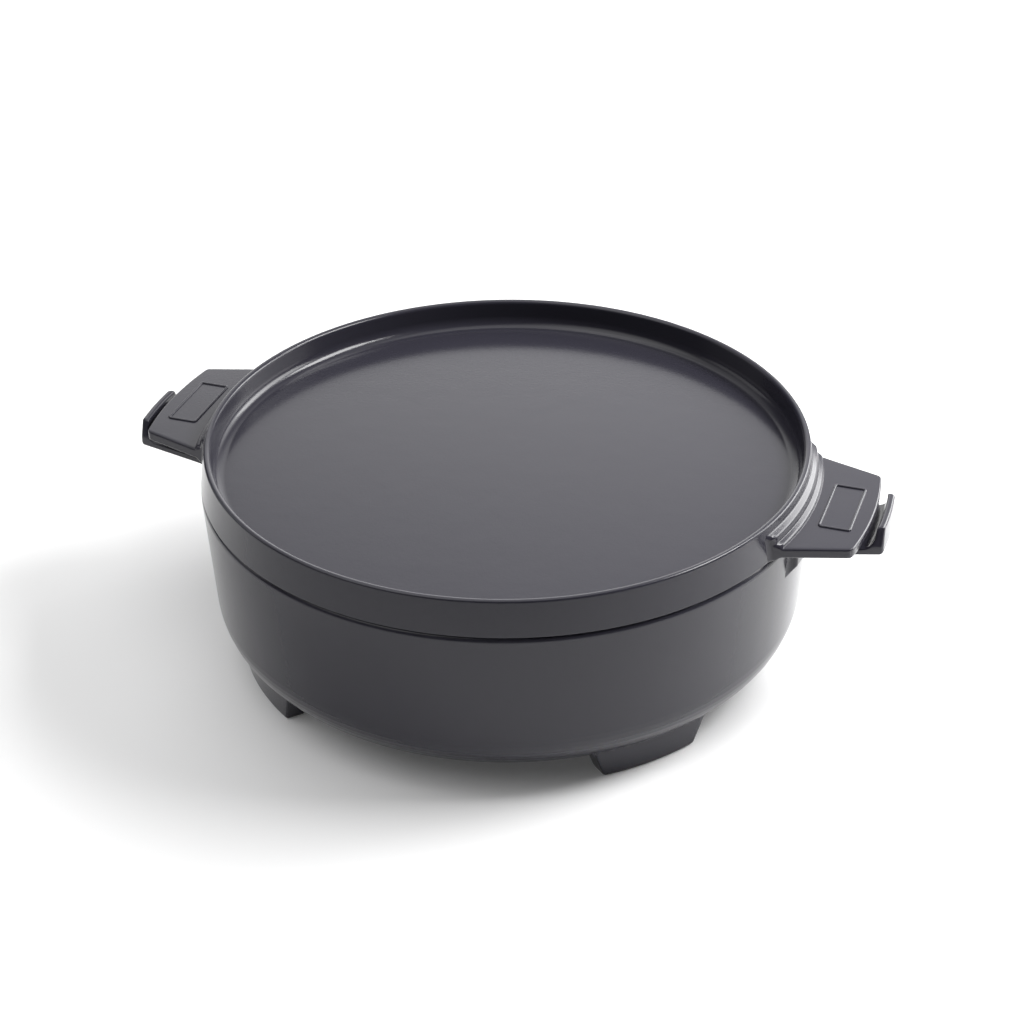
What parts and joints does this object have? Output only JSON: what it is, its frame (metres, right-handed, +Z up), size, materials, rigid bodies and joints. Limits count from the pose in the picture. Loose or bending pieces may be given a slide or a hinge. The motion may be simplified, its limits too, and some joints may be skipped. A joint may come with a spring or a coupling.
{
  "type": "camp dutch oven",
  "caption": "Round enamelled cast-iron camp dutch oven with short feet, side handles with upturned tabs, and a shallow pan-shaped lid that lifts off.",
  "frame": {"origin": "on the ground under the centre of the pot, with the pot standing on its feet", "axes": "+Z up, +X along the line through the handles, +Y towards the back"},
  "size_m": [0.3918, 0.3102, 0.1156],
  "materials": {
    "enamelled_cast_iron": "semi-matt dark grey enamel"
  },
  "bodies": {
    "pot": {"pot_shell": "enamelled_cast_iron", "pot_handle_right": "enamelled_cast_iron", "pot_handle_left": "enamelled_cast_iron", "pot_foot_front_right": "enamelled_cast_iron", "pot_foot_back_right": "enamelled_cast_iron", "pot_foot_back_left": "enamelled_cast_iron", "pot_foot_front_left": "enamelled_cast_iron"},
    "lid": {"lid_pan": "enamelled_cast_iron", "lid_locating_ring": "enamelled_cast_iron", "lid_handle_right": "enamelled_cast_iron", "lid_handle_left": "enamelled_cast_iron", "lid_handle_frame_right": "enamelled_cast_iron", "lid_handle_frame_left": "enamelled_cast_iron"}
  },
  "joints": [
    {"name": "lid_lift", "type": "slide", "parent": "pot", "child": "lid", "axis": [0, 0, 1], "range_m": [0, 0.12]}
  ]
}
